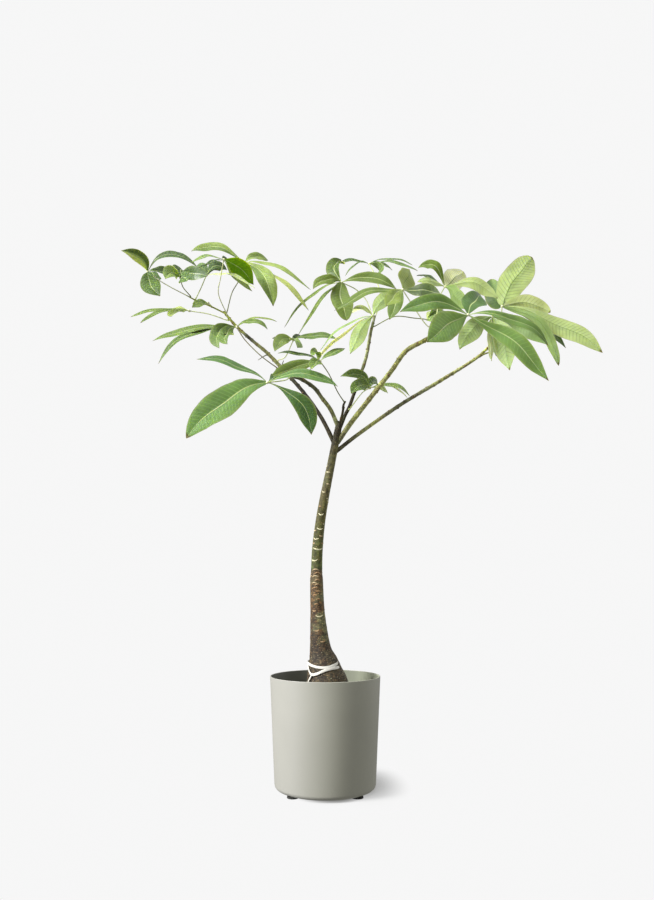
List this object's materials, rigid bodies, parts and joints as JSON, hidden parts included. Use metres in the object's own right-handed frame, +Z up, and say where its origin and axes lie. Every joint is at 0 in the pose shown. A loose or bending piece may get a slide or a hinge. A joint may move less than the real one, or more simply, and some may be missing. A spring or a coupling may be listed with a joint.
{
  "type": "potted money tree",
  "caption": "House plant: a slim trunk forking into woody branches with palmate leaves on long petioles, standing in soil in a round, slightly tapered cover pot on low feet.",
  "frame": {"origin": "on the floor, on the pot's vertical axis, between the four feet", "axes": "+Z up; the pictured front faces -Y and +X is to the viewer's right"},
  "size_m": [1.2349, 0.5311, 1.4046],
  "materials": {
    "pot": "matte warm grey-green",
    "foot": "matte black",
    "soil": "rough, dark brown potting soil",
    "bark": "rough, olive brown",
    "tie": "matte white",
    "leaf": "satin dark green, paler below",
    "young_leaf": "satin yellow-green, paler below"
  },
  "bodies": {
    "root": {"pot": "pot", "foot_front_left": "foot", "foot_front_right": "foot", "foot_back_left": "foot", "foot_back_right": "foot", "soil": "soil", "trunk_and_branches": "bark", "tie": "tie", "leaf_01": "leaf", "leaf_02": "leaf", "leaf_03": "leaf", "leaf_04": "young_leaf", "leaf_05": "leaf", "leaf_06": "leaf", "leaf_07": "leaf", "leaf_08": "leaf", "leaf_09": "leaf", "leaf_10": "leaf", "leaf_11": "leaf", "leaf_12": "leaf", "leaf_13": "young_leaf", "leaf_14": "young_leaf", "leaf_15": "leaf", "leaf_16": "leaf", "leaf_17": "young_leaf", "leaf_18": "young_leaf", "leaf_19": "leaf", "leaf_20": "leaf", "leaf_21": "young_leaf"}
  },
  "joints": []
}
